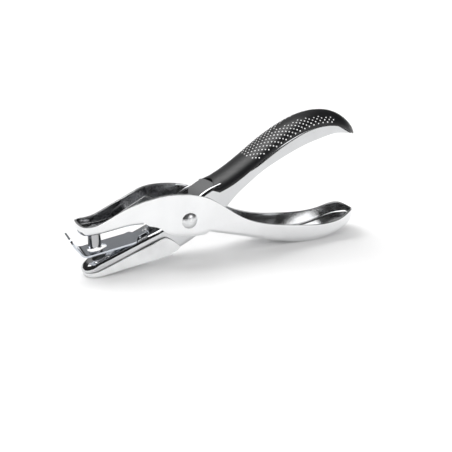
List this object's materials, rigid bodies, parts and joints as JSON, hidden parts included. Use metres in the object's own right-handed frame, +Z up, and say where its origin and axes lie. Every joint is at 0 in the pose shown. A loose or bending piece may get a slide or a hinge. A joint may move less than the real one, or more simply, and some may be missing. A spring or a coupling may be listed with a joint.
{
  "type": "plier punch",
  "caption": "Hand-held plier punch: two bright pressed steel levers on a rivet, with a punch pin, die, sprung stripper plate, swinging chip tray and a black dotted grip.",
  "frame": {"origin": "under the middle of the punch's length, on the surface it stands on", "axes": "+X towards the handles, +Y along the rivet, +Z up"},
  "size_m": [0.144, 0.0202, 0.0621],
  "materials": {
    "lever_plate": "bright nickel plate",
    "rivet": "bright plate",
    "tool_steel": "ground and polished",
    "stripper_steel": "bright rolled",
    "plain_steel": "plain turned",
    "spring_wire": "drawn wire",
    "grip": "satin black with raised bright dots",
    "tray_plastic": "smooth light grey"
  },
  "bodies": {
    "upper_lever": {"upper_jaw_lever": "lever_plate", "pivot_rivet": "rivet", "pivot_sleeve": "plain_steel", "punch_pin": "tool_steel", "return_spring": "spring_wire"},
    "lower_lever": {"lower_jaw_lever": "lever_plate", "handle_grip": "grip", "die_ring": "tool_steel", "stripper_tang": "stripper_steel", "stripper_rivet": "rivet"},
    "stripper": {"stripper_plate": "stripper_steel"},
    "tray": {"chip_tray": "tray_plastic"}
  },
  "joints": [
    {"name": "jaw_pivot", "type": "hinge", "parent": "upper_lever", "child": "lower_lever", "pos_m": [-0.01855, 0, 0.021], "axis": [0, 1, 0], "range_deg": [0, 13], "stiffness_Nm_per_rad": 0.6, "springref_deg": -20.05, "deforming": ["return_spring"]},
    {"name": "stripper_hinge", "type": "hinge", "parent": "lower_lever", "child": "stripper", "pos_m": [-0.04455, 0, 0.0134], "axis": [0, 1, 0], "range_deg": [-12.4, 0]},
    {"name": "tray_hinge", "type": "hinge", "parent": "lower_lever", "child": "tray", "pos_m": [-0.02815, 0, 0.0114], "axis": [0, -1, 0], "range_deg": [0, 35]}
  ],
  "couplings": [
    {"joint": "stripper_hinge", "follows": "jaw_pivot", "ratio": -0.95}
  ]
}
